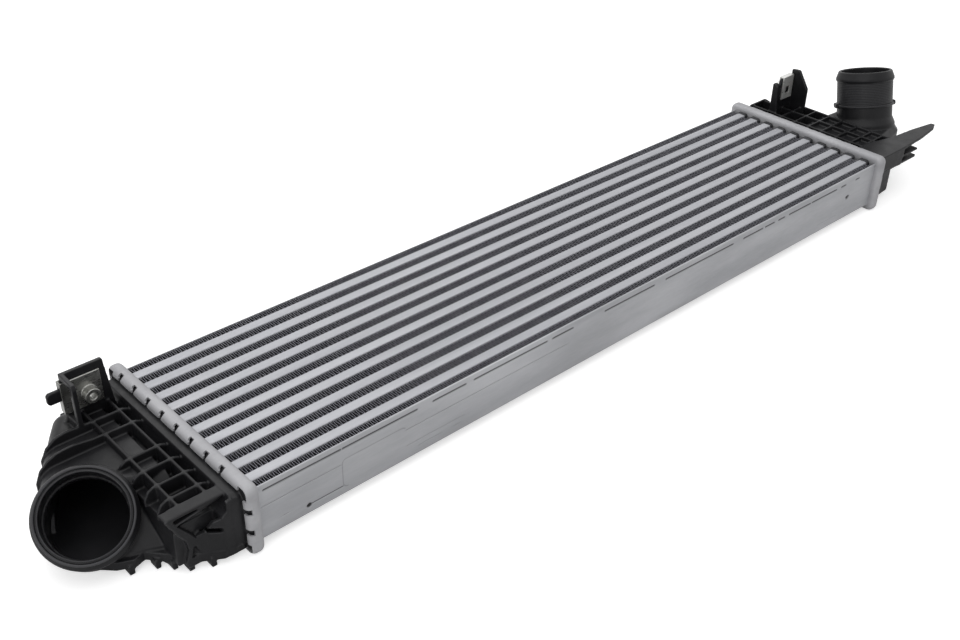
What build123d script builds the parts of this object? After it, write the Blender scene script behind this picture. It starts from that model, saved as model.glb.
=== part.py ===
from build123d import *
from math import sqrt
import os

os.makedirs("parts", exist_ok=True)

# X runs along the tubes, Y across the rows, Z is the way the cooling air flows.
# The origin lies on the surface that the two headers stand on, under the middle of the whole length.
# Sizes are in millimetres. Places below are measured from the core's centre.
# Both tanks are drawn on the +X side, and the inlet end is mirrored to -X.

# Core
core_length = 654.0
core_depth = 41.0
tube_count = 10
tube_pitch = 15.0
tube_thickness = 7.7
tube_wall = 0.5
tube_corner = 1.0
tube_reach = 3.5
side_plate_face = 78.5
side_plate_thickness = 1.0
groove_height = 10.0
groove_width = 2.0
groove_depth = 0.4
groove_margin = 12.0

# Folded strips, with fewer and coarser folds than the real ones
fin_length = 646.0
fin_folds = 8
fin_sheet = 0.5
turbulator_folds = 2
turbulator_sheet = 0.4

# Headers: pressed trays whose rims are crimped over the feet of the tanks
header_sheet = 1.6
header_half_width = 84.0
header_half_depth = 26.5
header_corner = 9.0
header_rim = 10.0
header_shoulder = 2.6
lip_reach = 4.5
notch_width = 3.0
notch_length = 3.8
notch_pitch = 17.4
notch_places = [66.0 - notch_pitch * row for row in range(8)]
end_notch_places = [8.9, -7.0]
corner_relief = 9.5

# Gaskets in the rims
gasket_thickness = 3.0
gasket_width = 2.3
rim_gap = 0.4
tray_cut = 4.4
tray_shoulder = 1.7

# Tanks: one wall thickness throughout
tank_wall = 2.5
neck_half_width = 77.6
neck_half_depth = 20.3
neck_corner = 5.0
neck_end = 342.5
throat_inset = 2.6
cell_floor = 9.5
tank_bottom = -20.3
skirt_bottom = -22.5
skirt_height = 6.5
rib_thickness = 2.0
rib_top = 20.0
inner_rib = 350.3
outer_rib = 368.3
rib_sink = 1.0
foot_rib_pitch = 27.0
foot_rib_lead = 3.0

# Inlet: the duct leaves along the tank and turns up into the spigot
inlet_mouth = (408.9, -24.0, 11.2)
inlet_axis = (0.292, -0.580, 0.760)
inlet_radius = 30.0
inlet_bead = 31.2
inlet_bore = 25.5
inlet_socket = 12.0
inlet_throat = 24.0
inlet_bore_depth = 36.0
inlet_length = 45.0
duct_top = 14.5
duct_round = 10.0
passage_cut = 6.0
duct_start = 355.0
inlet_cap_depth = 13.0
inlet_rows = [42.0, 25.5, -5.4, -21.5, -37.5, -52.5]
tooth_places = [(357.0, -73.5), (368.5, -68.0), (375.5, -61.0), (382.5, -53.5), (396.5, -48.0)]
tooth_width = 3.5
tooth_length = 8.0

# Outlet: an upright spigot on the tank's outer side
outlet_mouth = (422.0, 1.7, 60.1)
outlet_axis = (0.120, 0.258, 0.959)
outlet_radius = 25.8
outlet_bead = 27.0
outlet_collar = 28.4
outlet_bore = 22.3
outlet_socket = 40.0
outlet_throat = 21.5
outlet_bore_depth = 60.0
outlet_length = 62.0
boss_top = 16.0
boss_cut = 5.0
outlet_rows = [76.5, 41.0, 25.5, 10.0, -4.5, -20.5, -36.0, -48.0]
outlet_long_ribs = [352.0, 370.0, 387.0]
stop_depth = 32.0
stop_reach = 28.6
stop_width = 9.0
stop_height = 4.5
wing_top = 21.2

# Brackets with clip nuts
plate_thickness = 3.0
inlet_plate = 58.0
outlet_plate = 55.0
bolt_window = 8.0
inlet_bolt = (361.7, 32.0)
outlet_bolt = (372.0, 38.0)
inlet_edge = 377.6
outlet_edge = 50.0
clip_sheet = 1.2
clip_gap = 0.4
clip_window = 7.0
inlet_clip = (22.5, 46.0)
inlet_clip_start = 352.5
tab_slot = (32.2, 41.3)
outlet_clip = (364.0, 380.0)
outlet_clip_bottom = 29.0
thread_radius = 2.5
barrel_radius = 5.2
barrel_length = 6.0

# From the core's centre to the origin: the outlet reaches out further than the inlet
rest_height = header_half_depth
middle_shift = 5.45

header_face = core_length / 2
lip_face = header_face + header_rim
shelf = header_face + header_sheet
foot_start = shelf + gasket_thickness
foot_end = lip_face - header_sheet
tray_half_width = header_half_width - header_sheet
tray_half_depth = header_half_depth - header_sheet
hollow_bottom = tank_bottom + tank_wall
hollow_top = cell_floor - tank_wall
tube_places = [(row - (tube_count - 1) / 2) * tube_pitch for row in range(tube_count)]


def save(shape, name):
    shape = Pos(-middle_shift, 0, rest_height) * shape
    shape.label = name
    export_step(shape, f"parts/{name}.step")


def slab(low, high):
    """Box between two opposite corners."""
    return Pos(*low) * Box(*(high[i] - low[i] for i in range(3)), align=[Align.MIN] * 3)


def rounded_bar(half_y, half_z, corner, start, end):
    """Bar along X with a rounded rectangular section."""
    section = Plane.YZ.offset(start) * RectangleRounded(2 * half_y, 2 * half_z, corner)
    return extrude(section, amount=end - start)


def cut_bar(half_y, half_z, cut, start, end):
    """Bar along X with a rectangular section whose corners are cut at 45 degrees."""
    quarter = [(half_y - cut, half_z), (half_y, half_z - cut)]
    points = quarter + [(y, -z) for y, z in reversed(quarter)]
    points += [(-y, -z) for y, z in quarter] + [(-y, z) for y, z in reversed(quarter)]
    return gusset(points, start, end)


def gusset(points, low_x, high_x):
    """Plate across X with a straight-edged outline in Y and Z."""
    outline = make_face(Polyline(*[(low_x, y, z) for y, z in points], close=True))
    return extrude(outline, amount=high_x - low_x, dir=(1, 0, 0))


def web(points, low_y, high_y):
    """Plate across Y with a straight-edged outline in X and Z."""
    outline = make_face(Polyline(*[(x, high_y, z) for x, z in points], close=True))
    return extrude(outline, amount=high_y - low_y, dir=(0, -1, 0))


def plan_block(points, low, high, radii=None):
    """Block with a straight or rounded outline in plan."""
    edges = FilletPolyline(*points, radius=radii, close=True) if radii else Polyline(*points, close=True)
    return extrude(Plane.XY.offset(low) * make_face(edges), amount=high - low)


def upper_edges(block):
    return block.faces().sort_by(Axis.Z)[-1].edges()


def turned(mouth, axis, profile):
    """Turned solid from (radius, height) points, with heights below zero inside the mouth."""
    section = make_face(Polyline(*[(radius, 0, height) for radius, height in profile], close=True))
    return Plane(origin=mouth, z_dir=axis) * revolve(section, Axis.Z)


def above(mouth, axis, depth):
    """Everything on the open side of a plane across a spigot."""
    return Plane(origin=mouth, z_dir=axis) * Pos(0, 0, 60 - depth) * Box(240, 240, 120)


def below(height):
    """Everything under a level beside the core."""
    return slab((header_face, -130, -80), (460, 130, height))


def tube_bar(inset, start, end):
    return cut_bar(tube_thickness / 2 - inset, core_depth / 2 - inset, tube_corner - inset, start, end)


def tube():
    end = header_face + tube_reach
    return tube_bar(0, -end, end) - tube_bar(tube_wall, -end, end)


def zigzag(count, step, height, sheet):
    """Closed outline of a folded sheet: (along, across) points."""
    drop = sheet * sqrt(step**2 + height**2) / step
    crests = [height / 2 if fold % 2 == 0 else drop - height / 2 for fold in range(count + 1)]
    upper = [((fold - count / 2) * step, crest) for fold, crest in enumerate(crests)]
    return upper + [(place, crest - drop) for place, crest in reversed(upper)]


def fin(height):
    points = zigzag(2 * fin_folds, fin_length / (2 * fin_folds), height, fin_sheet)
    return plan_block(points, -core_depth / 2, core_depth / 2)


def turbulator():
    """Folded sheet inside a tube, with its folds along the tube."""
    height = tube_thickness - 2 * tube_wall
    width = core_depth - 2 * tube_wall - 2 * tube_corner
    count = 2 * turbulator_folds
    points = zigzag(count, width / count, height, turbulator_sheet)
    return gusset([(across, along) for along, across in points], -header_face, header_face)


def side_plate():
    """Flat plate with two pressed grooves along it."""
    inner = side_plate_face - side_plate_thickness
    half = core_depth / 2
    plate = slab((-header_face, inner, -half), (header_face, side_plate_face, half))
    reach = header_face - groove_margin
    floor = side_plate_face - groove_depth
    for height in (-groove_height, groove_height):
        low = height - groove_width / 2
        plate -= slab((-reach, floor, low), (reach, side_plate_face, low + groove_width))
    return plate


def header():
    """Tray with a slot for each tube and a crimped rim with a row of notches."""
    rim = rounded_bar(header_half_width, header_half_depth, header_corner, header_face, lip_face)
    tray = chamfer(rim.faces().filter_by(Axis.X).edges(), header_shoulder)
    inside = cut_bar(tray_half_width, tray_half_depth, tray_cut, shelf, foot_end)
    tray -= chamfer(inside.faces().filter_by(Axis.X).edges(), tray_shoulder)
    mouth_y = header_half_width - lip_reach
    mouth_z = header_half_depth - lip_reach
    tray -= cut_bar(mouth_y, mouth_z, tray_cut, foot_end, lip_face)
    for place in tube_places:
        tray -= Pos(0, place, 0) * tube_bar(0, header_face, shelf)
    half_notch = notch_width / 2
    for side in (-1, 1):
        low, high = sorted((side * mouth_z, side * (mouth_z + notch_length)))
        for place in notch_places:
            tray -= slab((foot_end, place - half_notch, low), (lip_face, place + half_notch, high))
        low, high = sorted((side * mouth_y, side * (mouth_y + notch_length)))
        for place in end_notch_places:
            tray -= slab((foot_end, low, place - half_notch), (lip_face, high, place + half_notch))
    for side_y, side_z in ((-1, -1), (-1, 1), (1, -1), (1, 1)):
        y = side_y * (header_half_width - corner_relief / 2)
        z = side_z * (header_half_depth - corner_relief / 2)
        relief = Box(header_sheet, corner_relief, corner_relief)
        tray -= Pos(foot_end + header_sheet / 2, y, z) * relief
    return tray


def gasket():
    half_y = tray_half_width - rim_gap
    half_z = tray_half_depth - rim_gap
    ring = cut_bar(half_y, half_z, tray_cut, shelf, foot_start)
    ring = chamfer(ring.faces().sort_by(Axis.X)[0].edges(), tray_shoulder)
    return ring - cut_bar(half_y - gasket_width, half_z - gasket_width, tray_cut, shelf, foot_start)


def tank_base():
    """Foot under the crimped rim, neck through it, and the shoulder that falls to the cells."""
    base = cut_bar(tray_half_width - rim_gap, tray_half_depth - rim_gap, tray_cut, foot_start, foot_end)
    base = chamfer(base.faces().sort_by(Axis.X)[-1].edges(), tray_shoulder)
    base += rounded_bar(neck_half_width, neck_half_depth, neck_corner, foot_start, neck_end)
    slope = [(neck_end, neck_half_depth), (neck_end + 0.8, 15.5), (neck_end + 2.8, 12.0),
             (neck_end + 7.0, cell_floor), (neck_end + 7.0, tank_bottom), (neck_end, tank_bottom)]
    return base + web(slope, -neck_half_width + 1.0, neck_half_width - 1.0)


def throat():
    """Opening from the tube ends through the neck."""
    half_y = neck_half_width - throat_inset
    return cut_bar(half_y, neck_half_depth - throat_inset, neck_corner, foot_start, neck_end - 1.0)


def long_rib(x, start, end, low, high):
    return slab((x - rib_thickness / 2, start, low), (x + rib_thickness / 2, end, high))


def cross_rib(y, points):
    return web(points, y - rib_thickness / 2, y + rib_thickness / 2)


def foot_ribs(end):
    """Ribs across the underside, level with the bottom of the header."""
    top = tank_bottom + rib_sink
    ribs = long_rib(inner_rib, -66, 66, -rest_height, top)
    profile = [(neck_end - foot_rib_lead, top), (end + foot_rib_lead, top),
               (end + foot_rib_lead, foot_rib_lead - rest_height), (end, -rest_height), (neck_end, -rest_height)]
    for row in range(-2, 3):
        ribs += cross_rib(row * foot_rib_pitch, profile)
    return ribs


def inlet_tank():
    main = [(lip_face, 76.5), (376, 76.5), (376, -66), (lip_face, -66)]
    tank = tank_base() + plan_block(main, tank_bottom, cell_floor)
    tank += inlet_duct() + inlet_skirt()
    spigot = [(0, 0), (27.5, 0), (inlet_bead, -5.5), (inlet_bead, -7.5), (inlet_radius, -9.0),
              (inlet_radius, -inlet_length), (0, -inlet_length)]
    tank += turned(inlet_mouth, inlet_axis, spigot)
    tank += inlet_ribs() + foot_ribs(376) + inlet_front() + inlet_teeth() + inlet_bracket()
    return tank - inlet_hollow() - below(-rest_height)


def inlet_duct():
    """Rounded duct that runs along the tank's outer side to the spigot."""
    outline = [(310, 74), (382, 74), (391, 61), (410, 32), (424, 5), (421, -22), (402, -41), (386, -46),
               (310, -84)]
    radii = [16.0, 8.0, 20.0, 40.0, 16.0, 16.0, 14.0, 10.0, 16.0]
    duct = plan_block(outline, tank_bottom, duct_top, radii)
    duct = fillet(upper_edges(duct), duct_round)
    duct -= slab((300, -150, tank_bottom), (duct_start, 150, duct_top))
    return duct - above(inlet_mouth, inlet_axis, inlet_cap_depth)


def inlet_skirt():
    """Low wall round the bottom of the duct."""
    outline = [(343, 77), (378, 77), (386, 70), (396, 57), (412, 32), (425, 6), (425, -6), (421, -26),
               (404, -43), (394, -48), (387, -46), (379, -55), (371, -65), (362, -70), (351, -76.5), (343, -77)]
    return plan_block(outline, skirt_bottom, skirt_bottom + skirt_height)


def inlet_hollow():
    main = [(340, 74.0), (373.5, 74.0), (373.5, -63.5), (340, -63.5)]
    duct = [(356, 69), (378, 69), (386, 56), (404, 29), (419, 3), (419, -14), (400, -37), (386, -43), (356, -58)]
    passage = plan_block(duct, hollow_bottom, duct_top - tank_wall)
    passage = chamfer(upper_edges(passage), passage_cut)
    passage -= above(inlet_mouth, inlet_axis, inlet_cap_depth + tank_wall)
    bore = [(0, 1), (inlet_bore, 1), (inlet_bore, -inlet_socket), (inlet_throat, -inlet_socket),
            (inlet_throat, -inlet_bore_depth), (0, -inlet_bore_depth)]
    bore = turned(inlet_mouth, inlet_axis, bore) - below(hollow_bottom)
    return throat() + plan_block(main, hollow_bottom, hollow_top) + passage + bore


def inlet_ribs():
    low = cell_floor - rib_sink
    ribs = long_rib(inner_rib, -62, 57, low, rib_top) + long_rib(outer_rib, -62, 57, low, rib_top)
    crest = [(neck_end - 1, low), (neck_end - 1, 15.5), (344.5, 18.5), (348.0, rib_top)]
    over_duct = [(376, 20.6), (390, 22.8), (400, 22.0), (407, 19.0), (412.5, 14.0), (416.0, 6.0),
                 (416.0, -16.0), (402, -16.0), (402, 8)]
    back = [(376, 20.6), (386, 21.4), (394, 20.0), (400.5, 15.0), (405, 7.0), (405, -16.0),
            (388, -16.0), (388, 8)]
    stub = [(371, rib_top), (375, 18.0), (378, 13.0), (378, low)]
    ribs += cross_rib(inlet_rows[0], crest + back) + cross_rib(inlet_rows[1], crest + over_duct)
    for row in inlet_rows[2:]:
        ribs += cross_rib(row, crest + stub)
    return ribs


def inlet_front():
    """Curved end wall with a stepped edge and a slot, and the open arm over it with its strut."""
    outside = [(lip_face, -77), (349, -76.5), (358, -72), (368, -65)]
    inside = [(366.5, -63), (357, -69.5), (348.5, -74), (lip_face, -74.5)]
    wall = plan_block(outside + inside, skirt_bottom, rib_top - 0.5)
    step = [(346, rib_top), (346, 12.4), (349, 8.6), (354, 7), (359.5, 0), (370, -6), (370, rib_top)]
    wall -= web(step, -80, -60)
    wall -= web([(342, -4), (342, -0.7), (358, 2.9), (358, -0.5)], -80, -60)
    wall += slab((lip_face, -75, tank_bottom), (346, -65, cell_floor))
    arm = plan_block([(lip_face, -60), (372.7, -60), (381.3, -61.2), (381.3, -69.5), (lip_face, -69.5)],
                     rib_top - 2.0, rib_top)
    arm += web([(lip_face, 19.0), (374, 13.0), (379, 13.0), (381.3, rib_top), (378.5, rib_top), (376.5, 15.0),
                (374, 14.6), (lip_face, rib_top)], -69.5, -60.5)
    strut = web([(381, 19), (374.5, 4.6), (370.6, -1.3), (369.3, -9.2), (371.5, -16.4),
                 (371.5, skirt_bottom), (360, skirt_bottom), (359.4, -10), (367.1, 2.8), (374.8, 13.2),
                 (377, 19)], -69.5, -66.5)
    strut -= web([(366.1, -6.5), (361.2, -16.6), (368.0, -16.2)], -70, -66)
    return wall + arm + strut + slab((360, -69.5, skirt_bottom), (371.5, -62, skirt_bottom + 3.5))


def inlet_teeth():
    """Short ribs that stand out below the skirt's front edge."""
    teeth = Part()
    for x, y in tooth_places:
        low = (x - tooth_width / 2, y, -rest_height)
        teeth += slab(low, (x + tooth_width / 2, y + tooth_length, tank_bottom + rib_sink))
    return teeth


def inlet_bracket():
    """Upright plate with a tab on its outer edge and an open gusset in front."""
    low_y = inlet_plate - plate_thickness / 2
    high_y = inlet_plate + plate_thickness / 2
    plate = web([(344.5, 8), (348.9, 51.5), (inlet_edge, 51.5), (inlet_edge, 41.0), (386.5, 41.0),
                 (388, 39.5), (388, 34), (386.5, 32.5), (inlet_edge, 32.5), (inlet_edge, 22), (381, 8)],
                low_y, high_y)
    side = gusset([(low_y, 8), (low_y, 51.5), (41.5, 51.5), (40.5, 48), (41.0, 8)],
                  inlet_edge - plate_thickness, inlet_edge)
    side -= slab((374, 45.0, 21.5), (378, low_y, 47.5))
    return plate + side - Pos(inlet_bolt[0], inlet_plate, inlet_bolt[1]) * bolt_hole()


def bolt_hole():
    return Box(bolt_window, plate_thickness, bolt_window)


def outlet_tank():
    main = [(lip_face, 76.5), (382, 76.5), (390, 60), (390, -60), (366, -74), (lip_face, -76.5)]
    boss = [(310, 22), (398, 22), (430, 20), (446, 0), (444, -26), (428, -42), (390, -50), (310, -64)]
    radii = [12.0, 16.0, 16.0, 18.0, 18.0, 16.0, 20.0, 20.0]
    boss = plan_block(boss, tank_bottom, boss_top, radii)
    boss = chamfer(upper_edges(boss), boss_cut) - slab((300, -150, tank_bottom), (duct_start, 150, boss_top))
    spigot = [(0, 0), (24.6, 0), (outlet_bead, -6.5), (outlet_bead, -8.5), (outlet_radius, -9.5),
              (outlet_radius, -44.0), (outlet_collar, -50.0), (outlet_collar, -outlet_length), (0, -outlet_length)]
    tank = tank_base() + plan_block(main, tank_bottom, cell_floor) + boss
    tank += turned(outlet_mouth, outlet_axis, spigot)
    tank += outlet_stops() + outlet_ribs() + foot_ribs(384) + outlet_wing()
    tank += outlet_bracket() & below(rib_top)
    return tank - outlet_hollow() - below(-rest_height)


def outlet_hollow():
    main = [(340, 74.0), (380.5, 74.0), (387.5, 59.5), (387.5, -58.5), (364, -71.5), (340, -74)]
    boss = [(356, 19), (400, 19), (427, 17), (442, 0), (440, -23), (426, -38), (388, -46), (356, -50)]
    boss = chamfer(upper_edges(plan_block(boss, hollow_bottom, boss_top - tank_wall)), boss_cut)
    bore = [(0, 1), (outlet_bore, 1), (outlet_bore, -outlet_socket), (outlet_throat, -outlet_socket),
            (outlet_throat, -outlet_bore_depth), (0, -outlet_bore_depth)]
    bore = turned(outlet_mouth, outlet_axis, bore)
    return throat() + plan_block(main, hollow_bottom, hollow_top) + boss + bore


def outlet_stops():
    """Two lugs, left and right of the spigot, that stop the hose."""
    frame = Plane(origin=outlet_mouth, x_dir=(0.741, -0.671, 0.088), z_dir=outlet_axis)
    length = stop_reach - outlet_radius + 1.0
    stops = Part()
    for side in (-1, 1):
        place = Pos(side * (stop_reach - length / 2), 0, -stop_depth)
        stops += frame * place * Box(length, stop_width, stop_height)
    return stops


def outlet_ribs():
    low = cell_floor - rib_sink
    ribs = Part()
    for x in outlet_long_ribs:
        ribs += long_rib(x, -56, outlet_rows[0], low, rib_top)
    profile = [(neck_end, low), (346.5, 15.5), (352, rib_top), (387, rib_top), (387, low)]
    for row in outlet_rows[1:]:
        ribs += cross_rib(row, profile)
    end = [(neck_end, low), (346.5, 18.0), (349.0, 20.8), (372, 20.8), (380, 16.0), (380, low)]
    return ribs + web(end, outlet_rows[0] - rib_thickness, outlet_rows[0])


def outlet_wing():
    """Arm off the front corner: a top plate, a closed front, and an open end with one shelf."""
    top = [(341, -50), (358, -49.5), (390, -57.5), (417, -60), (444, -64.6), (445, -68.5), (436, -72.4),
           (409.6, -76), (380, -77.5), (341, -77.5)]
    wing = plan_block(top, wing_top - 2.5, wing_top)
    face = [(341, cell_floor - 4), (341, wing_top), (379, wing_top), (378, 12), (376, 3.5), (354, 7)]
    wing += web(face, -77.5, -74.5)
    for low, high, reach in ((3.5, 6.0, 402.0), (10.5, 12.5, 403.5)):
        wing += plan_block([(345, -58), (376, -60), (reach, -64), (reach, -77), (345, -77)], low, high)
    rear = [(360, -56.0), (390, -60.0), (406, -62.5), (406, -65.5), (390, -63.0), (360, -59.0)]
    return wing + plan_block(rear, 3.5, wing_top)


def outlet_bracket():
    """Upright plate with a notch in its top edge, a bolt window, and a gusset at each side."""
    low_y = outlet_plate - plate_thickness / 2
    high_y = outlet_plate + plate_thickness / 2
    plate = web([(352, 8), (352, 48), (357, 48), (359, 45), (361, 45), (363, outlet_edge),
                 (384.5, outlet_edge), (384.5, 8)], low_y, high_y)
    outer = gusset([(high_y, 8), (high_y, 55), (48, 56), (37, 40), (36.5, 8)], 381.5, 384.5)
    inner = gusset([(low_y, 8), (low_y, 48), (51, 46), (47, 8)], 352, 354.5)
    return plate + outer + inner - Pos(outlet_bolt[0], outlet_plate, outlet_bolt[1]) * bolt_hole()


def barrel(place, y, side):
    """Threaded barrel on a clip's near leg, the hole through both, and a window in the far leg."""
    frame = Pos(place[0], y, place[1]) * Rot(-90 * side, 0, 0)
    reach = plate_thickness / 2 + clip_sheet
    solid = frame * Pos(0, 0, reach + barrel_length / 2) * Cylinder(barrel_radius, barrel_length)
    hole = Cylinder(thread_radius, reach + barrel_length, align=[Align.CENTER, Align.CENTER, Align.MIN])
    window = Box(clip_window, clip_window, reach, align=[Align.CENTER, Align.CENTER, Align.MAX])
    return solid, frame * (hole + window)


def inlet_clip_nut():
    """Sheet folded round the plate's outer edge, with a slot for the tab and a barrel in front."""
    half = plate_thickness / 2
    outer = half + clip_sheet
    edge = inlet_edge + clip_gap
    low, high = inlet_clip
    end = edge + clip_sheet
    body = slab((inlet_clip_start, inlet_plate - outer, low), (end, inlet_plate + outer, high))
    body -= slab((inlet_clip_start, inlet_plate - half, low), (edge, inlet_plate + half, high))
    body -= slab((edge, inlet_plate - half, tab_slot[0]), (end, inlet_plate + half, tab_slot[1]))
    solid, hole = barrel(inlet_bolt, inlet_plate, -1)
    return body + solid - hole


def outlet_clip_nut():
    """Sheet folded over the plate's top edge, with its barrel behind."""
    half = plate_thickness / 2
    outer = half + clip_sheet
    edge = outlet_edge + clip_gap
    start, end = outlet_clip
    low = outlet_clip_bottom
    body = slab((start, outlet_plate - outer, low), (end, outlet_plate + outer, edge + clip_sheet))
    body -= slab((start, outlet_plate - half, low), (end, outlet_plate + half, edge))
    solid, hole = barrel(outlet_bolt, outlet_plate, 1)
    return body + solid - hole


for number, place in enumerate(tube_places, 1):
    save(Pos(0, place, 0) * tube(), f"tube_{number:02d}")
    save(Pos(0, place, 0) * turbulator(), f"turbulator_{number:02d}")

outer_start = tube_places[-1] + tube_thickness / 2
outer_height = side_plate_face - side_plate_thickness - outer_start
outer_place = outer_start + outer_height / 2
fin_rows = [(-outer_place, outer_height)]
fin_rows += [(place + tube_pitch / 2, tube_pitch - tube_thickness) for place in tube_places[:-1]]
fin_rows += [(outer_place, outer_height)]
for number, (place, height) in enumerate(fin_rows, 1):
    save(Pos(0, place, 0) * fin(height), f"fin_{number:02d}")

save(side_plate(), "side_plate_back")
save(mirror(side_plate(), about=Plane.XZ), "side_plate_front")
for shape, name in ((header(), "header"), (gasket(), "gasket")):
    save(shape, f"outlet_{name}")
    save(mirror(shape, about=Plane.YZ), f"inlet_{name}")

for shape, name in ((inlet_tank(), "tank"), (inlet_clip_nut(), "clip_nut")):
    save(mirror(shape, about=Plane.YZ), f"inlet_{name}")
for shape, name in ((outlet_tank(), "tank"), (outlet_bracket() - below(rib_top), "bracket"),
                    (outlet_clip_nut(), "clip_nut")):
    save(shape, f"outlet_{name}")
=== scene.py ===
import bmesh
import bpy
import math
import numpy as np
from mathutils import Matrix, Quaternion, Vector


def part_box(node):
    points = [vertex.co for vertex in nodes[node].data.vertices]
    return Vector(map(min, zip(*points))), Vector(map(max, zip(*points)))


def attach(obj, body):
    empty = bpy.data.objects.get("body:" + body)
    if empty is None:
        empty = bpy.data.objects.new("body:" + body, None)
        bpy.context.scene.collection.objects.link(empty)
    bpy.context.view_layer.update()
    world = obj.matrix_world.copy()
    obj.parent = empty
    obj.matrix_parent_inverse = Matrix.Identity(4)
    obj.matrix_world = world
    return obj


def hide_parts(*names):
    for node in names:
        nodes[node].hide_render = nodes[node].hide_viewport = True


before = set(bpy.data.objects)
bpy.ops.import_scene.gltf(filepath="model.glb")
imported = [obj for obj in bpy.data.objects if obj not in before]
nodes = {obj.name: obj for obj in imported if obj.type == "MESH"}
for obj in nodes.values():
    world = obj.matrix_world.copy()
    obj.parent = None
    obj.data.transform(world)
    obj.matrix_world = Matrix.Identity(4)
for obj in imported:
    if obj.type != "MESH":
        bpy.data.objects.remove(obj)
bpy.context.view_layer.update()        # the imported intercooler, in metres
mm = 0.001

# The core's centre, halfway between the two side plates
plateLow, plateHigh = [np.array(corner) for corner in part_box("side_plate_front")]
coreCentre = np.array([(plateLow[0] + plateHigh[0]) / 2, 0.0, (plateLow[2] + plateHigh[2]) / 2])
coreHalf = (plateHigh[0] - plateLow[0]) / 2
coreHalfDepth = (plateHigh[2] - plateLow[2]) / 2
tubeNames = sorted(name for name in nodes if name.startswith("tube_"))
finNames = sorted(name for name in nodes if name.startswith("fin_"))


# Mesh helpers

def gridQuads(rows, columns, closeRows=False, closeColumns=False):
    # Four neighbouring points of a grid make one face; a closed side runs back to its first line of points
    row = np.arange(rows if closeRows else rows - 1)
    column = np.arange(columns if closeColumns else columns - 1)
    row, column = np.meshgrid(row, column, indexing="ij")
    nextRow, nextColumn = (row + 1) % rows, (column + 1) % columns
    corners = [row * columns + column, row * columns + nextColumn,
               nextRow * columns + nextColumn, nextRow * columns + column]
    return np.stack(corners, -1).reshape(-1, 4)


def halved(quads):
    return np.concatenate([quads[:, [0, 1, 2]], quads[:, [0, 2, 3]]])


def joined(parts):
    # Several sets of points and faces as one
    start, points, faces = 0, [], []
    for some, quads in parts:
        points.append(some.reshape(-1, 3))
        faces.append(quads + start)
        start += len(points[-1])
    return np.concatenate(points), np.concatenate(faces)


def alongX(places, rings):
    # Rings of points in Y and Z, each at its place along X, as one list of points
    x = np.broadcast_to(np.asarray(places)[:, None, None], (*rings.shape[:2], 1))
    return np.concatenate([x, rings], -1).reshape(-1, 3)


def newPiece(name, points, faces, material, replaced=()):
    mesh = bpy.data.meshes.new(name)
    mesh.vertices.add(len(points))
    mesh.vertices.foreach_set("co", points.astype(np.float32).ravel())
    mesh.loops.add(faces.size)
    mesh.loops.foreach_set("vertex_index", faces.astype(np.int32).ravel())
    mesh.polygons.add(len(faces))
    mesh.polygons.foreach_set("loop_start", np.arange(0, faces.size, faces.shape[1], dtype=np.int32))
    mesh.update(calc_edges=True)
    mesh.validate()
    piece = bpy.data.objects.new(name, mesh)
    bpy.context.collection.objects.link(piece)
    return dressed(piece, material, replaced)


def dressed(piece, material, replaced=()):
    piece.data.materials.clear()
    piece.data.materials.append(material)
    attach(piece, "root")
    if replaced:
        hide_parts(*replaced)
    return piece


def smoothed(piece, degrees=35):
    piece.data.shade_smooth()
    piece.data.set_sharp_from_angle(angle=math.radians(degrees))
    return piece


def attribute(mesh, name, values):
    layer = mesh.attributes.new(name, "FLOAT", "POINT")
    layer.data.foreach_set("value", values.astype(np.float32))


def merged(mesh, distance, flatAngle=None):
    # Joins points that lie together, and where an angle is given, faces that are flat beside each other
    made = bmesh.new()
    made.from_mesh(mesh)
    bmesh.ops.remove_doubles(made, verts=made.verts, dist=distance)
    if flatAngle is not None:
        bmesh.ops.dissolve_limit(made, angle_limit=flatAngle, verts=made.verts, edges=made.edges)
    made.to_mesh(mesh)
    made.free()


def outwardFaces(piece):
    made = bmesh.new()
    made.from_mesh(piece.data)
    bmesh.ops.recalc_face_normals(made, faces=made.faces)
    made.to_mesh(piece.data)
    made.free()


def roundedOutline(halfWidth, halfHeight, radius, steps):
    # Four quarter circles about the corners of a rectangle, counted anticlockwise
    turn = (np.arange(4)[:, None] * math.pi / 2 + np.linspace(0, math.pi / 2, steps)).ravel()
    sides = np.repeat(np.array([[1, 1], [-1, 1], [-1, -1], [1, -1]]), steps, axis=0)
    centres = sides * np.array([halfWidth - radius, halfHeight - radius])
    return centres + radius * np.stack([np.cos(turn), np.sin(turn)], -1)


# Materials

def newMaterial(name, colour, roughness, metallic=0.0, specular=0.5):
    material = bpy.data.materials.new(name)
    material.use_nodes = True
    shader = material.node_tree.nodes["Principled BSDF"]
    shader.inputs["Base Color"].default_value = (*colour, 1)
    shader.inputs["Roughness"].default_value = roughness
    shader.inputs["Metallic"].default_value = metallic
    shader.inputs["Specular IOR Level"].default_value = specular
    return material


def addNode(material, kind, **settings):
    node = material.node_tree.nodes.new(kind)
    for name, value in settings.items():
        if name in node.inputs:
            node.inputs[name].default_value = value
        else:
            setattr(node, name, value)
    return node


def noise(material, scale, stretch=(1, 1, 1), detail=3.0):
    # Noise in the object's own metres, stretched along its axes
    tree = material.node_tree
    place = addNode(material, "ShaderNodeTexCoord")
    mapping = addNode(material, "ShaderNodeMapping")
    mapping.inputs["Scale"].default_value = stretch
    texture = addNode(material, "ShaderNodeTexNoise", Scale=scale, Detail=detail)
    tree.links.new(place.outputs["Object"], mapping.inputs["Vector"])
    tree.links.new(mapping.outputs["Vector"], texture.inputs["Vector"])
    return texture.outputs["Fac"]


noiseSpread = {"colour": (0.35, 0.65), "number": (0.3, 0.7)}    # the part of a noise that a range uses


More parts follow.
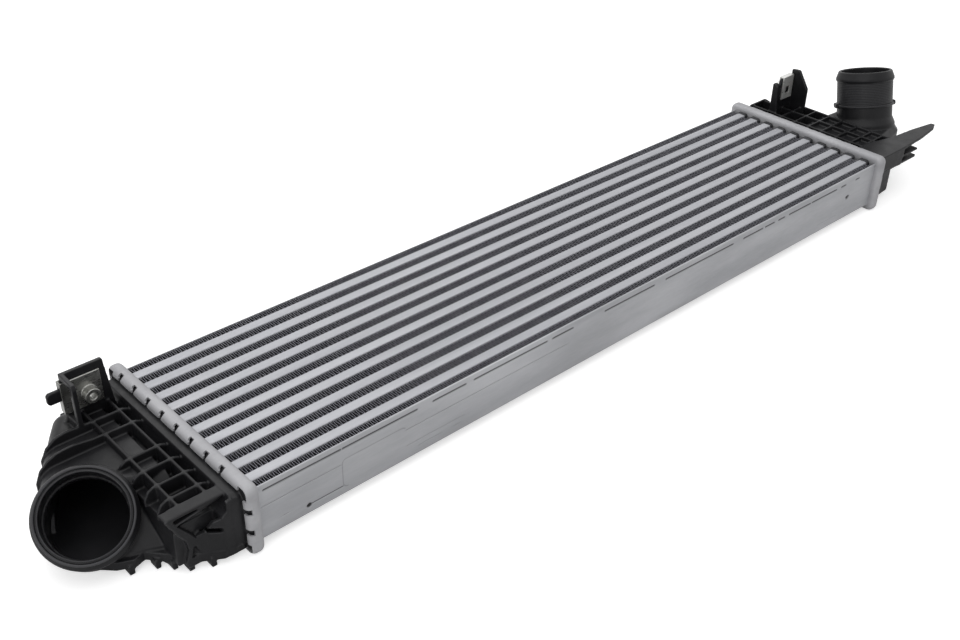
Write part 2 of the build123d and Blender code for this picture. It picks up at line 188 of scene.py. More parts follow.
def ramped(material, value, low, high):
    # The value's middle range as a mix of two colours
    ramp = addNode(material, "ShaderNodeValToRGB")
    ramp.color_ramp.elements[0].position, ramp.color_ramp.elements[1].position = noiseSpread["colour"]
    ramp.color_ramp.elements[0].color = (*low, 1)
    ramp.color_ramp.elements[1].color = (*high, 1)
    material.node_tree.links.new(value, ramp.inputs["Fac"])
    return ramp.outputs["Color"]


def ranged(material, value, low, high):
    spread = addNode(material, "ShaderNodeMapRange")
    spread.inputs["From Min"].default_value, spread.inputs["From Max"].default_value = noiseSpread["number"]
    spread.inputs["To Min"].default_value = low
    spread.inputs["To Max"].default_value = high
    material.node_tree.links.new(value, spread.inputs["Value"])
    return spread.outputs["Result"]


def link(material, output, socket):
    shader = material.node_tree.nodes["Principled BSDF"]
    material.node_tree.links.new(output, shader.inputs[socket])


def grain(material, value, distance, strength=1.0):
    bump = addNode(material, "ShaderNodeBump", Distance=distance, Strength=strength)
    material.node_tree.links.new(value, bump.inputs["Height"])
    link(material, bump.outputs["Normal"], "Normal")


metalLook = {"streaks": 60, "fine": 900, "grain": 2500, "grainDepth": 0.02 * mm}


def drawnAluminium(name, light, dark, roughness, metallic=0.6, stretch=(0.08, 1, 1)):
    # Colour and roughness vary in long streaks, with a fine grain over them
    material = newMaterial(name, light, 0.4, metallic=metallic)
    streaks = noise(material, metalLook["streaks"], stretch=stretch)
    link(material, ramped(material, streaks, dark, light), "Base Color")
    fine = noise(material, metalLook["fine"], stretch=(0.15, 1, 1))
    link(material, ranged(material, fine, *roughness), "Roughness")
    grain(material, noise(material, metalLook["grain"]), metalLook["grainDepth"])
    return material


def mixed(material, amount, first, second):
    # Two colours, or a colour and an output, by an amount from 0 to 1
    mix = addNode(material, "ShaderNodeMix", data_type="RGBA")
    material.node_tree.links.new(amount, mix.inputs["Factor"])
    for socket, source in ((mix.inputs[6], first), (mix.inputs[7], second)):
        if isinstance(source, tuple):
            socket.default_value = (*source, 1)
        else:
            material.node_tree.links.new(source, socket)
    return mix.outputs[2]


# The darkest colour here is painted shade, mixed in by the mesh's attribute in the plate's recesses and along
# the panel
plateLook = {"light": (0.52, 0.525, 0.545), "dark": (0.43, 0.435, 0.455), "paintedShade": (0.03, 0.03, 0.03),
             "clouds": 22, "cloudTint": (0.86, 0.86, 0.86), "roughness": (0.42, 0.6)}


def shadePaintedMetal(name):
    # Drawn metal with slow clouds of a darker tone, and painted shade in its recesses, set by an attribute of
    # the mesh
    look = plateLook
    material = drawnAluminium(name, look["light"], look["dark"], look["roughness"], stretch=(0.15, 1, 1))
    shader = material.node_tree.nodes["Principled BSDF"]
    clean = shader.inputs["Base Color"].links[0].from_socket
    clouds = noise(material, look["clouds"], stretch=(0.5, 1, 1), detail=6)
    clouds = ramped(material, clouds, look["cloudTint"], (1, 1, 1))
    tint = addNode(material, "ShaderNodeMix", data_type="RGBA", blend_type="MULTIPLY")
    tint.inputs["Factor"].default_value = 1.0
    material.node_tree.links.new(clean, tint.inputs[6])
    material.node_tree.links.new(clouds, tint.inputs[7])
    # The attribute mixes in painted shade in the dashes, creases, holes and slit
    amount = addNode(material, "ShaderNodeAttribute", attribute_name="paintedShade")
    link(material, mixed(material, amount.outputs["Fac"], tint.outputs[2], look["paintedShade"]), "Base Color")
    return material


# The palest colour here is a painted highlight, laid on crests where edges would catch the light
plasticLook = {"light": (0.015, 0.015, 0.0165), "dark": (0.008, 0.008, 0.009), "paintedHighlight": (0.075, 0.075, 0.08),
               "roughness": (0.3, 0.42), "specular": 0.2, "mottle": 25, "gloss": 140, "grain": 3000,
               "grainDepth": 0.03 * mm}


def blackPlastic():
    # Satin moulded plastic: near black, with a fine grain and slow changes of gloss, and a painted highlight on
    # its crests
    material = newMaterial("blackPlastic", plasticLook["light"], 0.42, specular=plasticLook["specular"])
    body = ramped(material, noise(material, plasticLook["mottle"]), plasticLook["dark"], plasticLook["light"])
    # The crest attribute mixes in a painted highlight
    crest = addNode(material, "ShaderNodeAttribute", attribute_name="crest")
    link(material, mixed(material, crest.outputs["Fac"], body, plasticLook["paintedHighlight"]), "Base Color")
    gloss = noise(material, plasticLook["gloss"])
    link(material, ranged(material, gloss, *plasticLook["roughness"]), "Roughness")
    grain(material, noise(material, plasticLook["grain"], detail=2.0), plasticLook["grainDepth"], 0.5)
    return material


def rubber():
    material = newMaterial("rubber", (0.015, 0.015, 0.015), 0.7)
    link(material, ranged(material, noise(material, 400), 0.6, 0.8), "Roughness")
    return material


even = (1, 1, 1)        # streaks as wide as they are long
tubeMetal = drawnAluminium("tubeMetal", (0.46, 0.465, 0.49), (0.39, 0.395, 0.42), (0.5, 0.65), metallic=0.5)
plateMetal = shadePaintedMetal("plateMetal")
headerMetal = drawnAluminium("headerMetal", (0.43, 0.43, 0.445), (0.35, 0.35, 0.365), (0.55, 0.7),
                             metallic=0.4, stretch=(1, 0.3, 1))
collarMetal = drawnAluminium("collarMetal", (0.05, 0.05, 0.055), (0.02, 0.02, 0.022), (0.5, 0.65),
                             stretch=even)
dullZinc = drawnAluminium("dullZinc", (0.42, 0.42, 0.4), (0.2, 0.2, 0.19), (0.22, 0.38), 0.9, even)
# A paler copy of the clip nuts' zinc, as painted light on the outlet clip
litZinc = drawnAluminium("litZinc", (0.8, 0.8, 0.78), (0.6, 0.6, 0.58), (0.25, 0.4), stretch=even)
plastic = blackPlastic()
gasketRubber = rubber()
print("materials made")


# Flat tubes with rounded edges, open at both ends

tubeShape = {"edgeRadius": 1.0 * mm, "wall": 0.5 * mm, "arcSteps": 6, "lengthSteps": 2}


def flatTube(name):
    # A rounded outline carried along the tube on its outside and back along its inside, joined at both ends
    low, high = [np.array(corner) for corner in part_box(name)]
    half, middle = (high - low) / 2, (high + low) / 2
    wall, steps = tubeShape["wall"], tubeShape["arcSteps"]
    outside = roundedOutline(half[1], half[2], tubeShape["edgeRadius"], steps)
    inside = roundedOutline(half[1] - wall, half[2] - wall, tubeShape["edgeRadius"] - wall, steps)
    along = np.linspace(low[0], high[0], tubeShape["lengthSteps"])
    rings = [np.repeat(ring[None], len(along), axis=0) for ring in (outside, inside)]
    rings = np.concatenate(rings) + middle[1:]
    points = alongX(np.concatenate([along, along[::-1]]), rings)
    faces = gridQuads(*rings.shape[:2], closeRows=True, closeColumns=True)
    return smoothed(newPiece(f"{name}_drawn", points, faces, tubeMetal, [name]))


for name in tubeNames:
    flatTube(name)
print("tubes made")


# Rows of folded fins

finShape = {"pitch": 3.48 * mm, "sheet": 0.28 * mm, "crestSteps": 3, "flankLean": 0.30, "recess": 0.5 * mm,
            "inletReach": 3.7 * mm}
# The darkest colour here is painted shade in the folds below their edges; the edge colours vary at random
finLook = {"edge": (0.34, 0.34, 0.38), "edgeDull": (0.24, 0.24, 0.28), "paintedDepthShade": (0.004, 0.004, 0.006),
           "fade": 0.06 * mm, "edgeLine": 0.02 * mm, "wear": 120}


def shadePaintedFolds():
    # Bright at the cut edges on both faces of the core, and painted shade just below them, dark as the folds'
    # depth
    material = newMaterial("finMetal", finLook["edge"], 0.6, specular=0.2)
    place = addNode(material, "ShaderNodeTexCoord")
    split = addNode(material, "ShaderNodeSeparateXYZ")
    material.node_tree.links.new(place.outputs["Object"], split.inputs["Vector"])
    offset = addNode(material, "ShaderNodeMath", operation="SUBTRACT")
    material.node_tree.links.new(split.outputs["Z"], offset.inputs[0])
    offset.inputs[1].default_value = float(coreCentre[2])
    height = addNode(material, "ShaderNodeMath", operation="ABSOLUTE")
    material.node_tree.links.new(offset.outputs[0], height.inputs[0])
    # Painted shade by height from the core's middle: none at the edge line, full below the fade
    depth = addNode(material, "ShaderNodeMapRange")
    material.node_tree.links.new(height.outputs[0], depth.inputs["Value"])
    edge = coreHalfDepth - finShape["recess"]
    depth.inputs["From Min"].default_value = edge - finLook["fade"]
    depth.inputs["From Max"].default_value = edge - finLook["edgeLine"]
    worn = ramped(material, noise(material, finLook["wear"]), finLook["edgeDull"], finLook["edge"])
    link(material, mixed(material, depth.outputs["Result"], finLook["paintedDepthShade"], worn), "Base Color")
    return material


def foldedFin(name):
    # A wave with straight flanks and round crests, given its thickness along its normal, as deep as the core
    low, high = [np.array(corner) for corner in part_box(name)]
    low[0] -= finShape["inletReach"]
    middle = (high + low) / 2
    pitch, steps = finShape["pitch"], finShape["crestSteps"]
    count = int((high[0] - low[0]) / pitch)
    reach = (high[1] - low[1] - finShape["sheet"]) / 2
    radius = pitch * (0.5 - finShape["flankLean"] / 2) / 2
    arc = np.linspace(-math.pi / 2, math.pi / 2, steps + 2)
    crest = np.stack([radius * np.sin(arc), reach - radius + radius * np.cos(arc)], -1)
    fold = np.concatenate([crest, crest * [1, -1] + [pitch / 2, 0]])
    start = middle[0] - (count - 0.5) * pitch / 2
    starts = np.stack([start + np.arange(count) * pitch, np.zeros(count)], -1)
    path = (fold + starts[:, None, :]).reshape(-1, 2)
    along = np.gradient(path, axis=0)
    along /= np.linalg.norm(along, axis=1)[:, None]
    normal = np.stack([-along[:, 1], along[:, 0]], -1) * finShape["sheet"] / 2
    top, bottom = high[2] - finShape["recess"], low[2] + finShape["recess"]
    ring = [(path + normal, top), (path - normal, top), (path - normal, bottom), (path + normal, bottom)]
    points = np.stack([np.column_stack([line[:, 0], line[:, 1] + middle[1], np.full(len(line), z)])
                       for line, z in ring], 1)
    faces = gridQuads(len(path), 4, closeColumns=True)
    last = len(path) * 4
    caps = np.array([[3, 2, 1, 0], [last - 4, last - 3, last - 2, last - 1]])
    faces = np.concatenate([faces, caps])[:, ::-1]
    return newPiece(f"{name}_folds", points.reshape(-1, 3), faces, finMetal, [name])


finMetal = shadePaintedFolds()
for name in finNames:
    foldedFin(name)
print("fins made")


# Tanks: the moulded form with its edges and inner corners softened

mouldLook = {"voxel": 0.65 * mm, "quickVoxel": 1.2 * mm, "smoothing": 3, "triangles": 190000,
             "mergeWithin": 0.0005 * mm, "bracketOverlap": 1.5 * mm, "crestFrom": 0.1, "crestTo": 0.35}


def mouldedTank(name, bracket=()):
    # The solid's own faces, with those of its bracket let down into it, remade as one skin and smoothed
    points, faces = [], []
    for node in (name, *bracket):
        mesh = nodes[node].data
        some = np.zeros(len(mesh.vertices) * 3)
        mesh.vertices.foreach_get("co", some)
        some = some.reshape(-1, 3)
        if node in bracket:
            foot = some[:, 2] < some[:, 2].min() + 0.01 * mm
            some[foot, 2] -= mouldLook["bracketOverlap"]
        corners = np.zeros(len(mesh.loops), dtype=int)
        mesh.loops.foreach_get("vertex_index", corners)
        points.append(some)
        faces.append(corners.reshape(-1, 3))
    starts = np.cumsum([0] + [len(some) for some in points[:-1]])
    faces = np.concatenate([some + start for some, start in zip(faces, starts)])
    piece = newPiece(f"{name}_moulding", np.concatenate(points), faces, plastic, [name, *bracket])
    merged(piece.data, mouldLook["mergeWithin"])
    remesh = piece.modifiers.new("blend", "REMESH")
    remesh.mode = "VOXEL"
    remesh.voxel_size = mouldLook["voxel"]
    soften = piece.modifiers.new("soften", "SMOOTH")
    soften.factor = 0.5
    soften.iterations = mouldLook["smoothing"]
    count = triangleCount(piece)
    thin = piece.modifiers.new("thin", "DECIMATE")
    thin.ratio = min(1.0, mouldLook["triangles"] / count)
    baked = bpy.data.meshes.new_from_object(piece.evaluated_get(bpy.context.evaluated_depsgraph_get()))
    piece.modifiers.clear()
    piece.data = baked
    baked.shade_smooth()
    markCrests(baked)
    print(name, count, "triangles before thinning")
    return piece


def markCrests(mesh):
    # How far each point stands out from its neighbours along its normal, as a share of its edges' length
    points, normals = np.zeros(len(mesh.vertices) * 3), np.zeros(len(mesh.vertices) * 3)
    mesh.vertices.foreach_get("co", points)
    mesh.vertex_normals.foreach_get("vector", normals)
    points, normals = points.reshape(-1, 3), normals.reshape(-1, 3)
    edges = np.zeros(len(mesh.edges) * 2, dtype=int)
    mesh.edges.foreach_get("vertices", edges)
    edges = edges.reshape(-1, 2)
    ends, others = np.concatenate([edges[:, 0], edges[:, 1]]), np.concatenate([edges[:, 1], edges[:, 0]])
    count = np.maximum(np.bincount(ends, minlength=len(points)), 1)
    offset = np.einsum("ij,ij->i", points[ends] - points[others], normals[ends])
    length = np.linalg.norm(points[ends] - points[others], axis=1)
    crest = np.bincount(ends, offset, len(points)) / np.maximum(np.bincount(ends, length, len(points)), 1e-9)
    for turn in range(2):
        crest = (crest + np.bincount(ends, crest[others], len(points)) / count) / 2
    low, high = mouldLook["crestFrom"], mouldLook["crestTo"]
    # The crest value sets how much painted highlight the plastic gets
    attribute(mesh, "crest", np.clip((crest - low) / (high - low), 0, 1))


def triangleCount(piece):
    mesh = piece.evaluated_get(bpy.context.evaluated_depsgraph_get()).data
    return sum(len(face.vertices) - 2 for face in mesh.polygons)


mouldedTank("inlet_tank")
mouldedTank("outlet_tank", ["outlet_bracket"])
print("tanks made")


# Rings moulded on the two mouths: thin beads on the inlet's face, and fine turned lines on the outlet's pipe

mouths = {"inlet": {"place": (-408.9, -24.0, 11.2), "axis": (-0.292, -0.580, 0.760)},
          "outlet": {"place": (422.0, 1.7, 60.1), "axis": (0.120, 0.258, 0.959)}}
# The inlet rings' third numbers and the outlet's line and stop values are amounts of painted highlight
ringShape = {"inletRings": [(28.6, 0.8, 0.6), (26.1, 0.45, 0.4)], "beadSteps": 12, "pipe": 25.8,
             "lines": (9.5, 31.0), "linePitch": 1.55, "lineSteps": 6, "lineHeight": 0.16,
             "lineHighlight": (0.1, 0.3), "stopRing": (32.0, 1.1, 27.1), "stopChamfer": 0.3, "stopHighlight": 0.25,
             "root": 24.8, "turnSteps": 96}


def turned(name, mouth, profile, paintedHighlight):
    # A closed profile of depth below the mouth and radius, turned round its axis, and how much painted highlight
    # each point gets
    axis = np.array(mouths[mouth]["axis"]) / np.linalg.norm(mouths[mouth]["axis"])
    first = np.cross(axis, [0, 1, 0])
    first /= np.linalg.norm(first)
    second = np.cross(axis, first)
    turn = np.arange(ringShape["turnSteps"]) * 2 * math.pi / ringShape["turnSteps"]
    way = np.cos(turn)[:, None] * first + np.sin(turn)[:, None] * second
    points = profile[None, :, 1:] * way[:, None, :] - profile[None, :, :1] * axis + mouths[mouth]["place"]
    points = points.reshape(-1, 3) * mm + coreCentre
    piece = newPiece(name, points, gridQuads(len(turn), len(profile), True, True), plastic)
    attribute(piece.data, "crest", np.tile(np.broadcast_to(paintedHighlight, len(profile)), len(turn)))
    outwardFaces(piece)
    return smoothed(piece, 60)


def inletRings():
    # Small circles of each bead's thickness about the mouth's face, at its radius
    turn = np.arange(ringShape["beadSteps"]) * 2 * math.pi / ringShape["beadSteps"]
    for count, (radius, thickness, paintedHighlight) in enumerate(ringShape["inletRings"]):
        bead = np.stack([thickness * np.cos(turn), radius + thickness * np.sin(turn)], -1)
        turned(f"inlet_ring_{count + 1}", "inlet", bead, paintedHighlight)


def outletLines():
    # The upper halves of a sine wave between two depths, and a flat ring at the stops
    start, end = ringShape["lines"]
    depth = np.arange(start, end, ringShape["linePitch"] / ringShape["lineSteps"])
    ripple = np.clip(np.sin(2 * math.pi * (depth - start) / ringShape["linePitch"]), 0, 1)
    outside = np.stack([depth, ringShape["pipe"] + ringShape["lineHeight"] * ripple], -1)
    root = ringShape["root"]
    lowest, more = ringShape["lineHighlight"]
    turned("outlet_pipe_lines", "outlet", np.concatenate([outside, [(depth[-1], root), (depth[0], root)]]),
           np.concatenate([lowest + more * ripple, [0, 0]]))
    place, half, radius = ringShape["stopRing"]
    flat = half - ringShape["stopChamfer"]
    below = radius - ringShape["stopChamfer"]
    corners = [(-half, root), (-half, below), (-flat, radius), (flat, radius), (half, below), (half, root)]
    turned("outlet_stop_ring", "outlet", np.array(corners) + [place, 0], ringShape["stopHighlight"])


inletRings()
outletLines()
print("rings made")


# Headers: a pressed tray whose rolled rim is notched, with a collar round each tube

headerShape = {"face": 327.0, "lip": 337.0, "halfWidth": 84.0, "halfDepth": 26.5, "corner": 6.0, "bend": 4.0,
               "sheet": 1.2, "lipReach": 4.6, "trayReach": 8.0, "trayLap": 0.4, "arcSteps": 7,
               "cornerSteps": 12, "sideStep": 1.5, "firstNotch": 66.0, "notchPitch": 17.4, "notches": 8,
               "notchHead": 2.3, "notchNeck": 1.4, "notchDepth": 3.4, "notchInset": 1.1,
               "endNotches": [8.9, -7.0], "endNotchHalf": 2.2, "slotInset": 0.3, "slotPast": (2.0, 5.0),
               "spare": 1.0, "scallop": 0.45, "relief": {"reach": 9.5, "band": 1.6, "corner": 4.0, "depth": 2.8}}


def rimProfile():
    # Along the sheet's outside: tray, quarter turn, rim, quarter turn and lip; then back along its inside
    shape = headerShape
    bend, sheet = shape["bend"], shape["sheet"]
    turn = np.linspace(0, math.pi / 2, shape["arcSteps"])
    profile = []
    for radius in (bend, bend - sheet):
        inset = bend - radius
        first = np.stack([shape["face"] + bend - radius * np.cos(turn), bend - radius * np.sin(turn)], -1)
        second = np.stack([shape["lip"] - bend + radius * np.sin(turn), bend - radius * np.cos(turn)], -1)
        line = [(shape["face"] + inset, shape["trayReach"]), *first, *second,
                (shape["lip"] - inset, shape["lipReach"])]
        profile += line if radius == bend else line[::-1]
    return np.array(profile)


def rimPath():
    # A rounded rectangle with straight runs divided, as places on it and the outward direction at each
    shape = headerShape
    corner = shape["corner"]
    places, outward = [], []
    flats = (shape["halfWidth"] - corner, shape["halfDepth"] - corner)
    for quarter in range(4):
        turn = np.linspace(0, math.pi / 2, shape["cornerSteps"]) + quarter * math.pi / 2
        way = np.stack([np.cos(turn), np.sin(turn)], -1)
        centre = np.array([(1, 1), (-1, 1), (-1, -1), (1, -1)][quarter]) * flats
        run = 2 * flats[quarter % 2]
        steps = int(run / shape["sideStep"])
        along = np.array([(-1, 0), (0, -1), (1, 0), (0, 1)][quarter]) * run
        last = centre + corner * way[-1]
        straight = last + np.linspace(0, 1, steps + 1)[1:-1, None] * along
        places.append(np.concatenate([centre + corner * way, straight]))
        outward.append(np.concatenate([way, np.repeat(way[-1:], steps - 1, axis=0)]))
    return np.concatenate(places), np.concatenate(outward)


def roundBar(y, z, radius, start, end, steps=12):
    # A closed round bar along X
    turn = np.arange(steps) * 2 * math.pi / steps
    ring = np.stack([y + radius * np.cos(turn), z + radius * np.sin(turn)], -1)
    return closedBar(ring, start, end)


def closedBar(ring, start, end):
    # An outline in Y and Z carried along X, with a fan of faces on its middle point at each end
    count = len(ring)
    middle = ring.mean(0)[None]
    points = [alongX([start, end], np.stack([line, line])) for line in (ring, middle)]
    step = np.arange(count)
    after = (step + 1) % count
    sides = [np.stack([step, after, after + count], -1), np.stack([step, after + count, step + count], -1)]
    ends = [np.stack([after, step, np.full(count, 2 * count)], -1),
            np.stack([step + count, after + count, np.full(count, 2 * count + 1)], -1)]
    return np.concatenate(points), np.concatenate(sides + ends)


def rectangle(lowY, highY, lowZ, highZ):
    return np.array([(lowY, lowZ), (highY, lowZ), (highY, highZ), (lowY, highZ)])


def headerCutters(tubeBoxes):
    # Keyhole notches through the lip and half its bend, square end notches, corner reliefs and tube slots
    shape = headerShape
    spare = shape["spare"]        # how far a cut runs on past the sheet
    start, end = shape["lip"] - shape["notchDepth"], shape["lip"] + spare
    headZ = shape["halfDepth"] - shape["notchInset"]
    innerZ = shape["halfDepth"] - shape["lipReach"] - 2 * spare
    bars = []
    for side in (1, -1):
        low, high = sorted((side * innerZ, side * headZ))
        for y in shape["firstNotch"] - shape["notchPitch"] * np.arange(shape["notches"]):
            bars.append(roundBar(y, side * headZ, shape["notchHead"], start, end))
            neck = rectangle(y - shape["notchNeck"], y + shape["notchNeck"], low, high)
            bars.append(closedBar(neck, start, end))
        innerY = shape["halfWidth"] - shape["lipReach"] - 2 * spare
        for z in shape["endNotches"]:
            low, high = sorted((side * innerY, side * (shape["halfWidth"] + spare)))
            half = shape["endNotchHalf"]
            bars.append(closedBar(rectangle(low, high, z - half, z + half), start, end))
        for up in (1, -1):
            bars.append(closedBar(cornerRelief() * [side, up], shape["lip"] - shape["relief"]["depth"], end))
    before, past = shape["slotPast"]
    for low, high in tubeBoxes:
        slot = rectangle(low[0], high[0], low[1], high[1])
        bars.append(closedBar(slot, shape["face"] - before, shape["face"] + past))
    return bars


def cornerRelief():
    # A square in the corner of the lip, rounded on its outer corner, inside the band that stays
    relief = headerShape["relief"]
    high = np.array([headerShape["halfWidth"], headerShape["halfDepth"]]) - relief["band"]
    low = np.array([headerShape["halfWidth"], headerShape["halfDepth"]]) - relief["reach"]
    turn = np.linspace(0, math.pi / 2, 6)[:, None]
    arc = high - relief["corner"] + relief["corner"] * np.concatenate([np.cos(turn), np.sin(turn)], 1)
    return np.array([low, (high[0], low[1]), *arc, (low[0], high[1])])


def cutAway(piece, bars, place):
    # Takes closed bars out of a piece, and keeps the result as its mesh
    points, faces = joined(bars)
    mesh = bpy.data.meshes.new("cutters")
    mesh.from_pydata(place(points).tolist(), [], faces.tolist())
    cutter = bpy.data.objects.new("cutters", mesh)
    bpy.context.collection.objects.link(cutter)
    outwardFaces(cutter)
    cut = piece.modifiers.new("cut", "BOOLEAN")
    cut.object = cutter
    cut.solver = "EXACT"
    cut.use_self = True
    result = bpy.data.meshes.new_from_object(piece.evaluated_get(bpy.context.evaluated_depsgraph_get()))
    piece.modifiers.clear()
    piece.data = result
    bpy.data.objects.remove(cutter)
    return piece


def pressedHeader(name, side):
    # The rim's profile carried round the rounded rectangle, and a flat tray inside it
    shape = headerShape
    profile, (path, outward) = rimProfile(), rimPath()
    inset = profile[None, :, 1]
    atLip = np.clip((profile[:, 1] - shape["bend"] + 0.5) / 1.0, 0, 1) * (profile[:, 0] > shape["lip"] - 2)
    wave = 0.5 - 0.5 * np.cos(2 * math.pi * (path[:, 0] - shape["firstNotch"]) / shape["notchPitch"])
    onLong = (np.abs(outward[:, 1]) > 0.99) * (np.abs(path[:, 0]) < shape["firstNotch"])
    inset = inset + (wave * onLong)[:, None] * atLip[None, :] * shape["scallop"]
    across = path[:, None, :] - outward[:, None, :] * inset[:, :, None]
    along = np.broadcast_to(profile[None, :, 0], across.shape[:2])
    rim = np.concatenate([along[:, :, None], across], -1)
    rimFaces = gridQuads(*rim.shape[:2], closeRows=True, closeColumns=True)
    inside = path - outward * (shape["trayReach"] - shape["trayLap"])
    flat = closedBar(inside, shape["face"], shape["face"] + shape["sheet"])

    def place(points):
        return points * [side * mm, mm, mm] + coreCentre

    points = place(np.concatenate([rim.reshape(-1, 3), flat[0]]))
    faces = np.concatenate([halved(rimFaces), flat[1] + rim.size // 3])
    piece = newPiece(f"{name}_pressing", points, faces, headerMetal, [name])
    outwardFaces(piece)
    tubeBoxes = (np.array([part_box(tube) for tube in tubeNames])[:, :, 1:] - coreCentre[1:]) / mm
    tubeBoxes += np.array([[shape["slotInset"]], [-shape["slotInset"]]])
    cutAway(piece, headerCutters(tubeBoxes), place)
    return smoothed(piece, 40)


collarShape = {"inlet": (325.4, 1.8, 0.9), "outlet": (323.2, 4.0, 1.5), "arcSteps": 7, "sunk": 0.15,
               "corner": 1.6, "cornerSteps": 5}


def tubeCollars(end, side):
    # Round each tube a bead: a half circle of height, along X, carried round the tube's rounded outline
    shape = collarShape
    turn = np.linspace(0, math.pi, shape["arcSteps"])
    start, reach, bulge = shape[end]
    profile = np.stack([start + reach * (1 - np.cos(turn)) / 2, bulge * np.sin(turn) - shape["sunk"]], -1)
    parts = []
    for tube in tubeNames:
        low, high = [np.array(corner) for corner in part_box(tube)]
        half, middle = (high - low)[1:] / 2 / mm, ((high + low) / 2 - coreCentre)[1:] / mm
        rings = np.stack([roundedOutline(*(half + out), shape["corner"] + out, shape["cornerSteps"])
                          for out in profile[:, 1]]) + middle
        faces = gridQuads(*rings.shape[:2], closeRows=True, closeColumns=True)
        parts.append((alongX(profile[:, 0], rings), faces))
    points, faces = joined(parts)
    points = points * [side * mm, mm, mm] + coreCentre
    piece = newPiece(f"{end}_tube_collars", points, faces, collarMetal)
    outwardFaces(piece)
    return smoothed(piece, 60)


for side, end in ((-1, "inlet"), (1, "outlet")):
    pressedHeader(f"{end}_header", side)
    tubeCollars(end, side)
print("headers made")


# Side plates: long panels with a row of pressed dashes, fine creases and small holes

plateShape = {"dashes": [(-322, -266), (-264, -205), (-191, -163), (-155, -87), (-81, -61), (-27, 27),
                         (41, 123), (137, 162), (166, 178), (184, 192), (199, 229), (232, 268), (276, 282),
                         (298, 303)],
              "dashHeights": (15.8, 14.2), "dashRun": 650, "dashHalf": 1.35, "dashDepth": 0.7,
              "creases": [(3.7, 0.3, -325, -266), (3.7, 0.3, -215, -64), (-11, 0.4, -313, -305),
                          (-9.5, 0.2, -215, -164), (-14, 0.3, -205, -186), (-14, 0.3, -174, -169),
                          (-13, 0.2, 248, 275)],
              "panel": (-240, -4, 25, 10.5, 3, 0.35), "panelSlope": 1.6, "creaseHalf": 0.4, "edgeRound": 1.2,
              "holes": [(-291.5, -14.3, 2.3, 2.0), (288.5, 0.6, 3.3, 2.0)],
              "slit": (-291.5, -265.5, -13.8, 0.8), "slitDepth": 0.4, "holeDepth": 0.8, "thickness": 1.0,
              "paintedShades": {"dash": 0.9, "crease": 1.6, "panel": 0.35, "slit": 0.8}}
# The grid's heights besides an even spread: at the dashes, the creases, the panel's top and the slit
plateLines = [(12.8, 17.4, 0.3), (3.1, 4.3, 0.2), (-11.6, -9.0, 0.2), (5.4, 7.6, 0.3), (-16.2, -12.4, 0.25)]


def ditch(distance, half):
    # One in the middle of a groove, falling smoothly to nothing at its edge
    return 0.5 + 0.5 * np.cos(math.pi * np.clip(np.abs(distance) / half, 0, 1))


def plateRelief(x, z, holes):
    # Depth below the plate's flat, and painted shade, at places in millimetres: the deepest of the dashes and
    # creases, each a cosine wave across, less the raised panel, more the rounding of the long edges, and
    # at least the depth of the holes and the slit
    shape, paintedShades = plateShape, plateShape["paintedShades"]
    share = 0.5 + x / shape["dashRun"]
    dashZ = shape["dashHeights"][0] + share * (shape["dashHeights"][1] - shape["dashHeights"][0])
    inDash = np.zeros_like(x)
    for start, end in shape["dashes"]:
        away = np.maximum(np.maximum(start - x, x - end), 0)
        inDash = np.maximum(inDash, ditch(np.hypot(away, z - dashZ), shape["dashHalf"]))
    depth = shape["dashDepth"] * inDash
    paintedShade = paintedShades["dash"] * inDash
    for height, drop, start, end in shape["creases"]:
        within = np.clip((np.minimum(x - start, end - x) + 1) / 2, 0, 1)
        crease = ditch(z - height, shape["creaseHalf"]) * within
        depth = np.maximum(depth, drop * crease)
        paintedShade = np.maximum(paintedShade, paintedShades["crease"] * drop * crease)
    panelX, panelZ, halfX, halfZ, corner, rise = shape["panel"]
    outX, outZ = np.abs(x - panelX) - halfX + corner, np.abs(z - panelZ) - halfZ + corner
    away = np.hypot(np.maximum(outX, 0), np.maximum(outZ, 0)) + np.minimum(np.maximum(outX, outZ), 0) - corner
    if holes:
        depth = depth - rise * np.clip(0.5 - away / shape["panelSlope"], 0, 1)
        # Painted shade along the raised panel's left end and top edge
        shaded = (x < panelX - halfX + 4) | (z > panelZ + halfZ - 1)        # its left end and top edge
        paintedShade = np.maximum(paintedShade, paintedShades["panel"] * ditch(away - 0.5, 0.7) * shaded)
    edge = np.clip((np.abs(z) - (coreHalfDepth / mm - shape["edgeRound"])) / shape["edgeRound"], 0, 1)
    depth = depth + 0.6 * shape["edgeRound"] * (1 - np.sqrt(1 - 0.9 * edge**2))
    if holes:
        for px, pz, halfX, halfZ in shape["holes"]:
            inHole = np.clip(3 * (1 - np.hypot((x - px) / halfX, (z - pz) / halfZ)), 0, 1)
            depth = np.maximum(depth, shape["holeDepth"] * inHole)
            paintedShade = np.maximum(paintedShade, inHole)
        start, end, height, half = shape["slit"]
        inSlit = ditch(z - height, half) * (x > start) * (x < end)
        depth = np.maximum(depth, shape["slitDepth"] * inSlit)
        paintedShade = np.maximum(paintedShade, paintedShades["slit"] * inSlit)
    return np.minimum(depth, 0.9 * shape["thickness"]), paintedShade


